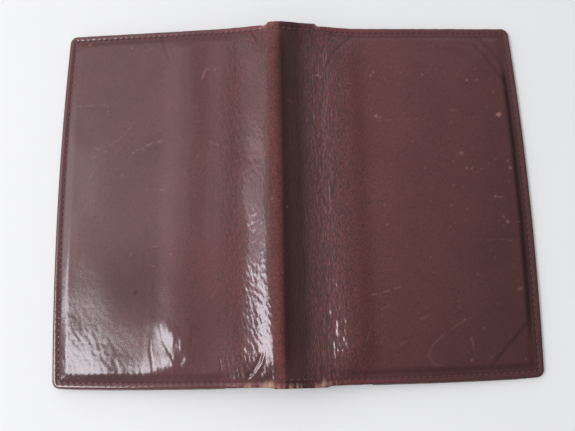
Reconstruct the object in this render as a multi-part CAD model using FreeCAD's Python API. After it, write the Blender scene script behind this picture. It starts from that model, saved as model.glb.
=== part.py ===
import FreeCAD, Part
import math
import os

# A bifold leather passport holder, lying open with its outer leather up.
# Millimetres. X runs across the covers, Y along the spine towards its head, Z up.
# The origin is on the table, under the middle of the holder.
# It lies like a low tent: each cover's outer edge is on the table, and each cover
# slopes up to the spine. The spine strip is hinged to the right cover along one fold
# line, and the left cover is hinged to the spine strip along the other.

# Plan
cover_height = 150.0       # head edge to tail edge
half_width = 97.0          # middle of the spine to the corner of a cover
edge_bow = 2.0             # how far an outer edge bulges past its corners
corner_radius = 3.0
spine_width = 20.0         # across the spine, between the two fold lines
spine_overhang = 1.0       # spine strip past the covers, at the head and at the tail

# Layers
leather_thick = 1.1
pad_thick = 0.9            # soft interlining under the leather
lining_thick = 0.3
sleeve_thick = 0.7         # the panel that makes each passport sleeve
card_thick = 0.5           # each card pocket panel

# Slack of the covers over their sleeves
right_slack_outer = 1.8    # height of the right sleeve at its outer end
right_slack_inner = 1.6    # and at the fold
left_slack_outer = 1.0
left_slack_inner = 1.5

# How it lies and shuts
right_tilt = 2.9           # degrees that the right cover slopes up to the spine
left_tilt = 3.8
shut_clearance = 0.8       # between the covers' outer edges when the holder is shut

# Seam round each cover
flange_width = 6.0         # flat border that the seam runs in
slope_run = 5.0            # plan length of the rise from the border to the raised panel
ramp_length = 17.0         # fold line to where the head and tail edges lie flat
stitch_inset = 2.4         # seam line to the edge
stitch_pitch = 2.45
stitch_length = 1.8
thread_width = 0.5
thread_thick = 0.25
channel_width = 0.8        # groove that the stitches lie in
seam_start = 4.0           # fold line to the first stitch of a cover

# Sleeves and card pockets
mouth_distance = 8.0       # fold line to the straight mouth of a sleeve
mouth_cut = 15.0           # how far each slanting end of the mouth reaches from its seam
card_mouths = (39.0, 25.0, 12.0)   # mouth of the sleeve to each card pocket's mouth
card_row_margin = 14.0     # a stop row's ends to the head edge and to the tail edge

# Clearances at the folds
leather_fold_gap = 0.3     # fold line to the cover leather
fold_clearance = 0.35      # spare room round the layers that pass each other

# Worked out
half_height = cover_height / 2
fold_x = spine_width / 2
bow_radius = (half_height ** 2 + edge_bow ** 2) / (2 * edge_bow)
bow_centre = half_width + edge_bow - bow_radius
spine_start = leather_thick / 2 + leather_fold_gap - 0.1
spine_depth = leather_thick / 2 + pad_thick + lining_thick + thread_thick
inner_start = fold_x + spine_depth + fold_clearance
leather_start = fold_x + leather_fold_gap
ramp_end = fold_x + ramp_length
flat_seam_start = ramp_end + stitch_length
sleeve_mouth = fold_x + mouth_distance
card_mouth_x = [sleeve_mouth + distance for distance in card_mouths]
card_depth = half_width - stitch_inset - card_mouth_x[0]
roof_layers = lining_thick + pad_thick + leather_thick / 2
right_base = sleeve_thick
left_base = len(card_mouths) * card_thick + sleeve_thick
right_depth = right_base + right_slack_inner + roof_layers
left_depth = left_base + left_slack_inner + roof_layers
outer_edge = half_width + edge_bow
steepest_ramp = max(left_slack_inner, right_slack_inner) / ramp_length
spine_inner_start = leather_thick / 2 + spine_depth * steepest_ramp + fold_clearance


def lifted(depth, tilt):
    """Where the fold line of a flat cover goes, in X and Z, as the cover is tilted
    about the underside of its outer edge."""
    turn = math.radians(tilt)
    reach = outer_edge - fold_x
    x = outer_edge - reach * math.cos(turn) + depth * math.sin(turn)
    return x, reach * math.sin(turn) + depth * math.cos(turn)


def edge_reach(base, depth, tilt):
    """How far a tilted cover's outer edge is from the middle of the spine."""
    lean = (base + lining_thick + leather_thick) * math.sin(math.radians(tilt))
    return outer_edge + lean - (lifted(depth, tilt)[0] - fold_x)


right_fold_z = lifted(right_depth, right_tilt)[1]
left_fold_z = lifted(left_depth, left_tilt)[1]
right_reach = edge_reach(right_base, right_depth, right_tilt)
left_reach = edge_reach(left_base, left_depth, left_tilt)
middle = (right_reach - left_reach) / 2


def vector(x, y, z):
    return FreeCAD.Vector(x, y, z)


def block(x0, x1, y0, y1, z0, z1):
    return Part.makeBox(x1 - x0, y1 - y0, z1 - z0, vector(x0, y0, z0))


def prism(points, direction):
    """A flat outline given by its corners, pushed along a direction."""
    wire = Part.makePolygon(points + points[:1])
    return Part.Face(wire).extrude(direction)


def bow_x(y, inset):
    """Where the bowed outer edge, moved in by inset, is at the height y."""
    return bow_centre + math.sqrt((bow_radius - inset) ** 2 - y ** 2)


def plate(start, inset, z0, z1):
    """A cover's outline from x = start to the bowed edge, as a flat plate."""
    top = half_height - inset
    corner = bow_x(top, inset)
    low = vector(corner, -top, z0)
    high = vector(corner, top, z0)
    bow = Part.Arc(low, vector(bow_x(0, inset), 0, z0), high).toShape()
    straight = Part.makePolygon([high, vector(start, top, z0), vector(start, -top, z0), low])
    solid = Part.Face(Part.Wire(straight.Edges + [bow])).extrude(vector(0, 0, z1 - z0))
    radius = corner_radius - inset
    if radius < 0.3:
        return solid
    upright = [e for e in solid.Edges if is_outer_corner(e, corner)]
    return solid.makeFillet(radius, upright)


def is_outer_corner(edge, corner):
    ends = [v.Point for v in edge.Vertexes]
    if len(ends) < 2:
        return False
    upright = math.hypot(ends[0].x - ends[1].x, ends[0].y - ends[1].y) < 1e-6
    return upright and abs(ends[0].x - corner) < 1e-3


def roof(start, base, slack_outer, slack_inner):
    """The raised space over a sleeve: a low hip roof, with a ramp beside the fold."""
    far = half_width - flange_width
    side = half_height - flange_width
    pitch = slack_inner / slope_run
    long_way = prism(
        [
            vector(start, -side, base),
            vector(start, -side, base + slack_inner),
            vector(far - slack_outer / pitch, -side, base + slack_outer),
            vector(far, -side, base),
        ],
        vector(0, 2 * side, 0),
    )
    across = prism(
        [
            vector(start, -side, base),
            vector(start, -side + slope_run, base + slack_inner),
            vector(start, side - slope_run, base + slack_inner),
            vector(start, side, base),
        ],
        vector(far - start, 0, 0),
    )
    ramp = prism(
        [
            vector(start, -half_height, base),
            vector(start, -half_height, base + slack_inner),
            vector(ramp_end, -half_height, base),
        ],
        vector(0, cover_height, 0),
    )
    return long_way.common(across).fuse(ramp)


def under(start, flange_top, pad_top, slack_outer, slack_inner):
    """Everything below one face of the layers, which steps up from the border."""
    side = half_height - flange_width
    body = plate(start, 0, 0, flange_top)
    panel = block(start, half_width - flange_width, -side, side, 0, pad_top)
    ends = block(start, ramp_end, -half_height, half_height, 0, pad_top)
    raised = roof(start, pad_top, slack_outer, slack_inner)
    return body.fuse([panel, ends, raised])


def seam_channel(z0, z1):
    """The U of the seam, as wide as the stitch channel."""
    outer = plate(fold_x - 1, stitch_inset - channel_width / 2, z0, z1)
    inner = plate(fold_x - 2, stitch_inset + channel_width / 2, z0 - 1, z1 + 1)
    return outer.cut(inner)


def stitch(centre, turn, tilt):
    """One stitch, turned about Z and tilted about its own cross axis, in degrees."""
    solid = Part.makeBox(
        stitch_length,
        thread_width,
        thread_thick,
        vector(-stitch_length / 2, -thread_width / 2, -thread_thick / 2),
    )
    solid.rotate(vector(0, 0, 0), vector(0, 1, 0), tilt)
    solid.rotate(vector(0, 0, 0), vector(0, 0, 1), turn)
    solid.translate(centre)
    return solid


def spread(start, end):
    """Places of stitch middles between two ends, evenly spaced near the pitch."""
    count = max(1, round((end - start) / stitch_pitch))
    step = (end - start) / count
    return [start + step * (i + 0.5) for i in range(count)]


def seam_stitches(level, ramp_level, slack_inner, face):
    """The stitches round one cover. level(x) is the flat seam's surface and
    ramp_level the ramp's at its low end; face is 1 for a top side, -1 for an underside."""
    y = half_height - stitch_inset
    corner = bow_x(y, stitch_inset) - corner_radius
    rise = slack_inner / (ramp_end - leather_start)
    tilt = math.degrees(math.atan(rise))
    sink = -face * thread_thick / 2
    ramp_sink = thread_thick / 2 / math.cos(math.radians(tilt))
    if face > 0:
        ramp_sink = thread_thick - ramp_sink
    solids = []
    for x in spread(fold_x + seam_start, ramp_end):
        z = ramp_level + rise * (ramp_end - x) - ramp_sink
        solids += [stitch(vector(x, side * y, z), 0, tilt) for side in (-1, 1)]
    for x in spread(flat_seam_start, corner):
        z = level(x) + sink
        solids += [stitch(vector(x, side * y, z), 0, 0) for side in (-1, 1)]
    for along in spread(-y + corner_radius, y - corner_radius):
        turn = 90 + math.degrees(math.asin(along / (bow_radius - stitch_inset)))
        x = bow_x(along, stitch_inset)
        solids.append(stitch(vector(x, along, level(x) + sink), turn, 0))
    return solids


def sleeve_panel(z0, z1):
    """A sleeve's panel: its mouth faces the fold, with a slanting cut at each end."""
    cut = half_height - mouth_cut
    panel = plate(sleeve_mouth, 0, z0, z1)
    for side in (-1, 1):
        panel = panel.cut(
            prism(
                [
                    vector(sleeve_mouth, side * cut, z0),
                    vector(sleeve_mouth, side * half_height, z0),
                    vector(flat_seam_start, side * half_height, z0),
                ],
                vector(0, 0, z1 - z0),
            )
        )
    return panel


def covers_layers(base, slack_outer, slack_inner):
    """The lining, interlining and leather over one sleeve."""
    top = base + lining_thick
    args = (slack_outer, slack_inner)
    space = under(leather_start, base, base, *args)
    lined = under(leather_start, top, top, *args)
    padded = under(leather_start, top, top + pad_thick, *args)
    covered = under(leather_start, top + leather_thick, top + pad_thick + leather_thick, *args)
    keep = block(inner_start, half_width + 2 * edge_bow, -cover_height, cover_height, 0, 50)
    lining = lined.cut(space).common(keep)
    pad = padded.cut(lined).common(keep)
    sunk = covered.translated(vector(0, 0, -thread_thick))
    channel = seam_channel(0, 50).common(covered).cut(sunk)
    leather = covered.cut(padded).cut(channel)
    return lining, pad, leather


def underside_channel(panel, z, x0, x1):
    """The stitch channel in the underside of a panel, between two distances."""
    cut = seam_channel(z, z + thread_thick).common(
        block(x0, x1, -cover_height, cover_height, z, z + thread_thick)
    )
    return panel.cut(cut)


def laid(nodes, depth, tilt):
    """A flat cover's nodes, tilted as they lie, with the fold line back in its place."""
    shift = lifted(depth, tilt)[0] - fold_x
    for shape in nodes.values():
        shape.rotate(vector(outer_edge, 0, 0), vector(0, 1, 0), tilt)
        shape.translate(vector(-shift, 0, 0))
    return nodes


def right_cover():
    """The right cover: leather, interlining, lining and one passport sleeve."""
    lining, pad, leather = covers_layers(right_base, right_slack_outer, right_slack_inner)
    far = half_width + 2 * edge_bow
    sleeve = underside_channel(sleeve_panel(0, sleeve_thick), 0, ramp_end, far)
    seam_top = right_base + lining_thick + leather_thick
    top_thread = seam_stitches(lambda x: seam_top, seam_top + pad_thick, right_slack_inner, 1)
    under_thread = seam_stitches(lambda x: 0, right_base, right_slack_inner, -1)
    nodes = {
        "right_cover_leather": leather,
        "right_interlining": pad,
        "right_lining": lining,
        "right_passport_sleeve": sleeve,
        "right_top_thread": Part.Compound(top_thread),
        "right_under_thread": Part.Compound(under_thread),
    }
    return laid(nodes, right_depth, right_tilt)


def card_level(x):
    """The underside of the left cover's seam under a stitch at x, which steps down
    with the card pockets towards the edge."""
    reach = x + stitch_length / 2
    covering = [i for i, mouth in enumerate(card_mouth_x) if reach > mouth]
    step = covering[0] if covering else len(card_mouths)
    return step * card_thick


def stop_row(index):
    """The row of stitches that stops a card as deep as the seam does in the first
    pocket, and the channel it lies in."""
    x = card_mouth_x[index] + card_depth
    z = index * card_thick
    reach = half_height - card_row_margin
    channel = block(
        x - channel_width / 2, x + channel_width / 2, -reach, reach, z, z + thread_thick
    )
    places = spread(-reach, reach)
    return channel, [stitch(vector(x, y, z + thread_thick / 2), 90, 0) for y in places]


def card_pockets():
    """The stepped card pockets on the left cover, the nearest the edge being lowest."""
    nodes, stop_thread = {}, []
    outer = half_width + 2 * edge_bow
    for index, mouth in enumerate(card_mouth_x):
        z = index * card_thick
        panel = underside_channel(plate(mouth, 0, z, z + card_thick), z, mouth, outer)
        if index:
            channel, row = stop_row(index)
            panel = panel.cut(channel)
            stop_thread += row
        nodes[f"card_pocket_{index + 1}"] = panel
        outer = mouth
    nodes["card_stop_thread"] = Part.Compound(stop_thread)
    return nodes, outer


def left_cover():
    """The left cover, built on the +X side and mirrored across the spine."""
    lining, pad, leather = covers_layers(left_base, left_slack_outer, left_slack_inner)
    nodes, outer = card_pockets()
    sleeve_z = left_base - sleeve_thick
    sleeve = underside_channel(sleeve_panel(sleeve_z, left_base), sleeve_z, ramp_end, outer)
    seam_top = left_base + lining_thick + leather_thick
    top_thread = seam_stitches(lambda x: seam_top, seam_top + pad_thick, left_slack_inner, 1)
    under_thread = seam_stitches(card_level, left_base, left_slack_inner, -1)
    nodes["left_cover_leather"] = leather
    nodes["left_interlining"] = pad
    nodes["left_lining"] = lining
    nodes["left_passport_sleeve"] = sleeve
    nodes["left_top_thread"] = Part.Compound(top_thread)
    nodes["left_under_thread"] = Part.Compound(under_thread)
    across = vector(1, 0, 0)
    laid(nodes, left_depth, left_tilt)
    return {name: shape.mirror(vector(0, 0, 0), across) for name, shape in nodes.items()}


def spine():
    """The spine strip, built flat between its fold lines and tilted to join them."""
    rise = left_fold_z - right_fold_z
    length = math.hypot(spine_width, rise)
    half = length / 2 - spine_start
    inner = length / 2 - spine_inner_start
    reach = half_height + spine_overhang
    skin = leather_thick / 2
    low = -skin - pad_thick
    leather = block(-half, half, -reach, reach, -skin, skin)
    stiffener = block(-inner, inner, -half_height, half_height, low, -skin)
    lining = block(-inner, inner, -half_height, half_height, low - lining_thick, low)
    top_thread, under_thread = [], []
    for side in (-1, 1):
        y = side * (half_height - stitch_inset)
        leather = leather.cut(
            block(
                -half, half, y - channel_width / 2, y + channel_width / 2, skin - thread_thick, skin
            )
        )
        for x in spread(-inner, inner):
            below = low - lining_thick - thread_thick / 2
            top_thread.append(stitch(vector(x, y, skin - thread_thick / 2), 0, 0))
            under_thread.append(stitch(vector(x, y, below), 0, 0))
    nodes = {
        "spine_leather": leather,
        "spine_stiffener": stiffener,
        "spine_lining": lining,
        "spine_top_thread": Part.Compound(top_thread),
        "spine_under_thread": Part.Compound(under_thread),
    }
    tilt = math.degrees(math.atan2(rise, spine_width))
    for shape in nodes.values():
        shape.rotate(vector(0, 0, 0), vector(0, 1, 0), tilt)
        shape.translate(vector(0, 0, (left_fold_z + right_fold_z) / 2))
    return nodes


def shut_angles():
    """How far each fold turns from rest until the covers' outer edges all but meet."""
    strip = math.hypot(spine_width, left_fold_z - right_fold_z)
    gap = strip - right_depth - left_depth - shut_clearance
    closing = math.degrees(math.asin(gap / (outer_edge - fold_x))) / 2
    slope = math.degrees(math.atan2(left_fold_z - right_fold_z, spine_width))
    return 90 + closing - right_tilt + slope, 90 + closing - left_tilt - slope


os.makedirs("parts", exist_ok=True)
for name, shape in {**right_cover(), **spine(), **left_cover()}.items():
    shape.translate(vector(-middle, 0, 0))
    shape.exportStep(f"parts/{name}.step")
print(f"right fold x {fold_x - middle:.4f} z {right_fold_z:.4f}")
print(f"left fold x {-fold_x - middle:.4f} z {left_fold_z:.4f}")
print("folds shut at {:.2f} and {:.2f} degrees".format(*shut_angles()))
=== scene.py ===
import math

import bpy
import numpy as np
from mathutils import Matrix


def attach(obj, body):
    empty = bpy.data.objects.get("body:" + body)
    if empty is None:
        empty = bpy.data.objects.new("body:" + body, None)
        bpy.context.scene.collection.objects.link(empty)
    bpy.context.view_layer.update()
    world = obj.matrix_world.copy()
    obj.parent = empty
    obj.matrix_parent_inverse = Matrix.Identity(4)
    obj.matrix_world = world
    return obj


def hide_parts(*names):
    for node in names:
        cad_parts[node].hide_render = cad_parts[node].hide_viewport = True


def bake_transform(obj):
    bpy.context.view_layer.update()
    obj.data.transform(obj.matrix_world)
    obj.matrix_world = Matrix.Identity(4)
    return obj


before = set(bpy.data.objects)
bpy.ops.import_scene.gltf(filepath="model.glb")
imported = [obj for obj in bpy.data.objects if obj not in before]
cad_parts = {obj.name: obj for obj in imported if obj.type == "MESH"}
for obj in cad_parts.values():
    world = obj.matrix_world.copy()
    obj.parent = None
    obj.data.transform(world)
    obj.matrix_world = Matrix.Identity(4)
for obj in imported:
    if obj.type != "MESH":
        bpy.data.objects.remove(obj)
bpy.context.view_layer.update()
mm = 0.001

# A worn leather passport holder, open on a table with its outside up.
# All the shape functions work in millimetres, in the frame's own axes.


def smooth(low, high, value):
    share = np.clip((value - low) / (high - low), 0, 1)
    return share * share * (3 - 2 * share)


def bell(value, centre, width):
    return np.exp(-((value - centre) / width) ** 2)


def noise(u, v, seed):
    # smooth random values from 0 to 1, one per unit square
    knots = np.random.default_rng(seed).random((256, 256))
    iu, iv = np.floor(u).astype(int), np.floor(v).astype(int)
    fu, fv = u - iu, v - iv
    fu, fv = fu * fu * (3 - 2 * fu), fv * fv * (3 - 2 * fv)
    a, b = knots[iu % 256, iv % 256], knots[(iu + 1) % 256, iv % 256]
    c, d = knots[iu % 256, (iv + 1) % 256], knots[(iu + 1) % 256, (iv + 1) % 256]
    return (a * (1 - fu) + b * fu) * (1 - fv) + (c * (1 - fu) + d * fu) * fv


def cloud(u, v, seed, octaves=3):
    total, weight = 0, 0
    for k in range(octaves):
        total = total + noise(u * 2 ** k + 7 * k, v * 2 ** k + 3 * k, seed + k) / 2 ** k
        weight += 1 / 2 ** k
    return total / weight


def ridges(u, v, seed):
    # 1 on thin branching lines, falling to 0 between them
    return 1 - np.abs(2 * noise(u, v, seed) - 1)


def toPath(x, y, path):
    # distance to a run of points, its sign, and the share of the way along it
    best = np.full(np.shape(x), 1e9)
    sign, along = np.zeros(np.shape(x)), np.zeros(np.shape(x))
    lengths = [math.dist(a, b) for a, b in zip(path, path[1:])]
    gone = 0
    for (ax, ay), (bx, by), length in zip(path, path[1:], lengths):
        dx, dy = (bx - ax) / length, (by - ay) / length
        t = np.clip((x - ax) * dx + (y - ay) * dy, 0, length)
        px, py = x - ax - t * dx, y - ay - t * dy
        far = np.hypot(px, py)
        near = far < best
        best = np.where(near, far, best)
        sign = np.where(near, np.sign(dx * py - dy * px), sign)
        along = np.where(near, (gone + t) / sum(lengths), along)
        gone += length
    return best, sign, along


plan = {   # the outline seen from above
    "edge": 98.75,   # outer edge of the leather, halfway between head and tail
    "bow": 2.0,   # how far the edge falls back at the corners
    "half": 75.0,   # middle to head or tail
    "corner": 3.0,
    "headOverhang": 1.1,   # spine past the covers
    "tailOverhang": 0.6,
    "tailBow": 1.2,
    "ragged": 0.10,   # the cut edge's unevenness
    "knee": 85.0,   # grid columns are upright up to here, then follow the bowed edge
    "lastColumn": 99.0,
    "underEdge": 0.3,   # the inner leathers' cut edge past the outer leather's
    "fold": 10.0,
}
thread = {
    "pitch": 2.45,
    "length": 1.95,
    "radius": 0.235,
    "inset": 2.4,   # seam to outline
    "spineInset": 3.4,
    "rise": 0.10,   # top of a stitch above the leather
    "dip": 0.26,   # its ends, drawn into their holes
    "plies": 0.16,
    "twist": 5.2,
    "rings": 11,
    "sides": 10,
}


def edgeAt(y):
    return plan["edge"] - plan["bow"] * (y / plan["half"]) ** 2


def reachAt(x, side):
    # distance from the middle line to the head edge, side 1, or the tail edge, side -1
    spine = smooth(12.4, 10.6, np.where(x < 0, -1.15 * x, x))   # narrower on the left
    head = plan["half"] + plan["headOverhang"] * spine - 0.25 * bell(np.abs(x), 11.6, 0.6)
    tail = plan["half"] + plan["tailBow"] * (1 - (np.abs(x) / 97) ** 4)
    tail = tail + plan["tailOverhang"] * spine
    ragged = plan["ragged"] * (noise(x / 1.7, x * 0 + side, 40) - 0.5)
    return np.where(side > 0, head, tail) + ragged


def toEdge(x, y):
    # distance inwards from the outline
    r = plan["corner"]
    qx = np.abs(x) - (edgeAt(y) - r)
    qy = np.abs(y) - (reachAt(x, np.sign(y)) - r)
    outside = np.hypot(np.maximum(qx, 0), np.maximum(qy, 0))
    return r - outside - np.minimum(np.maximum(qx, qy), 0)


def place(u, v, side, grow=0.0):
    # plan position of grid coordinates: u out from the middle, v along the spine
    half, r = plan["half"], plan["corner"]
    y = v / half * (reachAt(u * side, np.sign(v)) + grow)
    cut = r - np.sqrt(np.maximum(r ** 2 - np.maximum(np.abs(v) - (half - r), 0) ** 2, 0))
    edge = edgeAt(y) - cut + grow
    knee = plan["knee"]
    x = np.where(u < knee, u, knee + (u - knee) * (edge - knee) / (plan["lastColumn"] - knee))
    return x * side, y


tilt = {1: math.tan(math.radians(2.9)), -1: math.tan(math.radians(3.8))}   # slope of each cover
stack = {1: 2.1, -1: 3.6}   # leather's top above the underside, at the seam

# heights across the spine: ridge at the left fold, valley, hump on the right
profiles = {
    "middle": [
        (-31, 8.75), (-27, 8.95), (-23.5, 9.15), (-21, 9.42), (-18.8, 9.95), (-11.8, 12.15), (-10, 12.45),
        (-8.4, 12.5), (-6.9, 12.2), (-5.7, 11.6), (-4.6, 10.7), (-3.4, 9.7), (-1.5, 8.9), (1, 8.45),
        (4, 8.3), (8, 8.4), (12, 8.7), (16, 9.25), (19, 9.45), (22, 9.3), (26, 8.75), (32, 7.8),
    ],
    "low": [   # towards the tail the steep flank is narrower
        (-31, 8.75), (-22, 9.55), (-17, 10.25), (-14.6, 10.65), (-11.4, 11.6), (-9.6, 12.1), (-8.4, 12.2),
        (-6.9, 12.1), (-5.7, 11.6), (-4.6, 10.7), (-3.4, 9.7), (-1.5, 8.9), (1, 8.45), (4, 8.3),
        (8, 8.4), (12, 8.6), (14.2, 8.85), (19, 9.9), (20.6, 10.05), (23.5, 9.5), (27, 8.75), (32, 7.8),
    ],
    "head": [
        (-31, 8.3), (-27, 8.6), (-20, 9.5), (-15, 10.3), (-11, 11.05), (-8.6, 11.55), (-6.3, 11.9),
        (-4, 11.8), (0, 11.0), (4, 10.0), (8, 9.3), (11, 8.9), (15, 8.2), (20, 7.1), (27, 5.8), (32, 5.5),
    ],
    "tail": [
        (-31, 8.3), (-27, 8.65), (-20, 9.5), (-15, 10.15), (-11, 10.7), (-8, 11.15), (-6.3, 11.35),
        (-4, 11.2), (0, 10.7), (4, 10.0), (8, 9.3), (11, 8.9), (15, 8.2), (20, 7.1), (27, 5.8), (32, 5.5),
    ],
}
softening = {"reach": 36, "step": 0.05, "width": 1.1, "kernel": 80}


def soften(points):
    # the points joined up, with their corners rounded
    reach, step, kernel = softening["reach"], softening["step"], softening["kernel"]
    fine = np.linspace(-reach, reach, round(2 * reach / step) + 1)
    weights = np.exp(-(np.arange(-kernel, kernel + 1) * step / softening["width"]) ** 2)
    padded = np.pad(np.interp(fine, *zip(*points)), kernel, mode="edge")
    return fine, np.convolve(padded, weights / weights.sum(), mode="valid")


softened = {name: soften(points) for name, points in profiles.items()}


def profile(name, x):
    return np.interp(x, *softened[name])


def seamLevel(x):
    rise = np.where(x > 0, tilt[1], tilt[-1])
    return np.where(x > 0, stack[1], stack[-1]) + rise * (plan["edge"] - np.abs(x))


relief = {   # heights in millimetres
    "rightLift": 1.5,   # panel above the seam
    "leftLift": 0.55,
    "drift": 2.2,   # how far the ridge's foot wanders sideways
    "pocketRidge": 0.42,
    "swell": 0.42,   # over the pockets' tail ends
    "creases": 0.50,   # share of each crease's listed depth
    "lips": 0.36,   # share of each crease's listed lip
    "seam": 0.30,
    "pucker": 0.045,
    "groove": 0.52,   # pressed line just inside the right seam
    "endGroove": 0.20,
    "rounding": 0.85,   # radius of the outer edge
}
mouthPrints = ((-57, 0.10), (-42.5, 0.05), (-30, 0.08))   # place and height of each pocket mouth's print


def body(x, y):
    # the large shape
    d = toEdge(x, y)
    fromEnd = reachAt(x, np.sign(y)) - np.abs(y)
    uneven = 0.6 + 0.8 * noise(x / 11, y / 11, 50)
    rightStep, leftStep = 0.40 * uneven, (0.55 + 0.25 * smooth(-40, -66, y)) * uneven
    rightLift = relief["rightLift"] * (rightStep * smooth(3.6, 6.8, d) + (1 - rightStep) * smooth(4, 24, d))
    leftLift = relief["leftLift"] * (leftStep * smooth(2.6, 6.4, d) + (1 - leftStep) * smooth(3, 26, d))
    outer = seamLevel(x) + np.where(x > 0, rightLift, leftLift)
    share = smooth(0.5, 15.0, fromEnd)
    low = np.clip((-22 - y) / 46, 0, 1)
    drift = relief["drift"] * (cloud(y / 17, x * 0, 55, 2) - 0.5) * bell(x, -18, 5)
    middle = (1 - low) * profile("middle", x + drift) + low * profile("low", x)
    end = np.where(y < 0, profile("tail", x), profile("head", x))
    spine = (1 - share) * end + share * middle
    return outer + (spine - outer) * smooth(33.0, 24.0, np.abs(x))


def pocketPrint(x, y):
    # how the card pockets show through the left cover
    low = smooth(-35, -68, y)
    inside = smooth(3.5, 9, toEdge(x, y))
    wander = 4.0 * (noise(y / 26, y * 0, 51) - 0.5) + 1.2 * (noise(y / 9, y * 0, 53) - 0.5)
    ridge = smooth(-56, -46, x + wander) - 0.75 * smooth(-45, -34, x + wander)
    h = relief["pocketRidge"] * ridge * (1 - 0.3 * low)
    for mouth, height in mouthPrints:
        step = smooth(mouth - 2.5, mouth + 1, x + wander) * smooth(mouth + 9, mouth + 1, x)
        h = h + height * (0.2 + 0.8 * low * noise(y / 5, y * 0 + mouth, 52)) * step
    swell = relief["swell"] * bell(x, -46, 7) * smooth(-42, -56, y) * smooth(-76, -64, y)
    swell = swell * (0.5 + 0.8 * cloud(x / 3.5, y / 5, 54))
    return (h + swell) * inside


creases = [   # route, depth, half width, lip height, lip side
    ([(28.3, 72.5), (23, 66.8), (18.3, 61.4), (13.7, 53.4)], 0.34, 0.75, 0.16, 1),
    ([(20, 72), (15, 66), (12.5, 60)], 0.20, 0.55, 0.10, 1),
    ([(81.2, 72.0), (85.6, 66.8), (88.9, 62.9), (93.6, 56.3)], 0.36, 0.55, 0.22, 1),
    ([(78.5, 69.0), (83.5, 63.6), (88.3, 56.3), (92.6, 49.5), (94.3, 44)], 0.36, 0.60, 0.22, 1),
    ([(63, 64.8), (72, 63.8), (82, 60.5)], 0.16, 1.1, 0.0, 1),
    ([(93.6, -52), (88.5, -57.5), (83.9, -61.7), (79.5, -66.5), (74.5, -71.8)], 0.30, 0.65, 0.12, -1),
    ([(-20.4, -72.6), (-17.6, -69.8), (-15.2, -66.2), (-14.0, -62.5)], 0.36, 0.60, 0.0, 1),
    ([(-20.0, -74.0), (-16.7, -71.0), (-14.1, -67.2), (-12.8, -62.0)], -0.30, 0.38, 0.0, 1),
    ([(-16.9, 72.5), (-15.0, 69.0), (-13.5, 65.5)], 0.32, 0.45, 0.18, -1),
    ([(-56.3, 73.2), (-54, 66), (-51.2, 58)], 0.16, 0.8, 0.14, -1),
    ([(-53.5, 70.5), (-51, 65), (-49, 60)], 0.10, 0.5, 0.14, -1),
    ([(-56.5, -71), (-56.9, -66), (-58.0, -61), (-57.8, -56)], 0.10, 0.32, 0.0, -1),
    ([(-47.9, -67.5), (-49.6, -63), (-52.6, -58.5)], 0.12, 0.32, 0.0, -1),
    ([(-51.9, -60.5), (-53.2, -56), (-54.6, -50.5)], 0.07, 0.30, 0.0, -1),
    ([(-42.6, -69.5), (-41.8, -62), (-41.1, -56), (-41.6, -51)], 0.15, 0.30, 0.0, -1),
    ([(-45.0, -70.5), (-45.9, -67.5), (-46.1, -65)], 0.16, 0.32, 0.0, -1),
    ([(-29.8, -70), (-30.1, -67.5), (-30.9, -64.5)], 0.15, 0.32, 0.0, -1),
    ([(-97.6, -35.6), (-94, -35.3)], 0.20, 0.30, 0.0, 1),
]


def creasing(x, y):
    h = np.zeros(np.shape(x))
    for path, depth, width, lip, lipSide in creases:
        far, sign, along = toPath(x, y, path)
        fade = smooth(0, 0.15, along) * smooth(1, 0.75, along)
        h -= relief["creases"] * depth * fade * bell(far, 0, width)
        h += relief["lips"] * lip * fade * bell(far, 1.7 * width, width) * (sign == lipSide)
    return h


wrinkleDepth = {   # millimetres
    "upright": 0.115,
    "slanting": 0.064,
    "beyondHump": 0.045,
    "glints": 0.20,
    "corner": 0.036,
    "tail": 0.06,
    "pebble": 0.018,
    "waves": 0.20,
}
slantSlope = 0.42


def uprightWrinkles(x, y):
    # compression wrinkles from the valley to the right hump
    x = x + 1.2 * (noise(x / 9, y / 14, 60) - 0.5)
    return ridges(x / 1.0, y / 5.5, 61) ** 2 + 0.8 * ridges(x / 0.7 + 9, y / 3.6, 62) ** 2


def slantingPlaces(x, y):
    # coordinates across and along the slanting folds of the grain
    slant = x + slantSlope * y + 1.5 * (noise(x / 8, y / 11, 63) - 0.5)
    return slant, y - slantSlope * x


def ridgeWrinkles(x, y):
    # slanting folds left of the ridge
    slant, cross = slantingPlaces(x, y)
    zone = smooth(-38, -20, x) * smooth(-3.5, -6.5, x)
    lines = ridges(slant / 0.95, cross / 2.8, 64) ** 2 + 0.8 * ridges(slant / 0.62 + 3, cross / 1.9, 65) ** 2
    return zone * (lines - 0.5) * (0.5 + 0.5 * cloud(x / 14, y / 18, 66))


def humpWrinkles(x, y):
    # the same, fainter, right of the hump, and deeper ones on it near the tail
    slant, cross = slantingPlaces(x, y)
    faint = smooth(13, 20, x) * smooth(40, 24, x) * (ridges(slant / 0.85 + 40, cross / 3, 67) ** 2 - 0.4)
    zone = smooth(-35, -60, y) * bell(x - 0.10 * (y + 60), 17.0, 3.6)
    lines = ridges((x + 0.30 * y) / 1.15, (y - 0.3 * x) / 5.5, 73) ** 2
    return wrinkleDepth["beyondHump"] * faint + wrinkleDepth["glints"] * zone * (lines - 0.4)


def cornerWrinkles(x, y):
    # a fan of fine wrinkles over the left cover's tail corner
    zone = smooth(-34, -50, y + 0.85 * (x + 92)) * smooth(-50, -64, x)
    slant = x * 0.86 + y * 0.5
    cross = y * 0.86 - x * 0.5
    lines = ridges(slant / 0.95, cross / 3, 68) ** 2 + 0.7 * ridges(slant / 0.62, y / 2, 69) ** 2
    return zone * (lines - 0.5)


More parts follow.
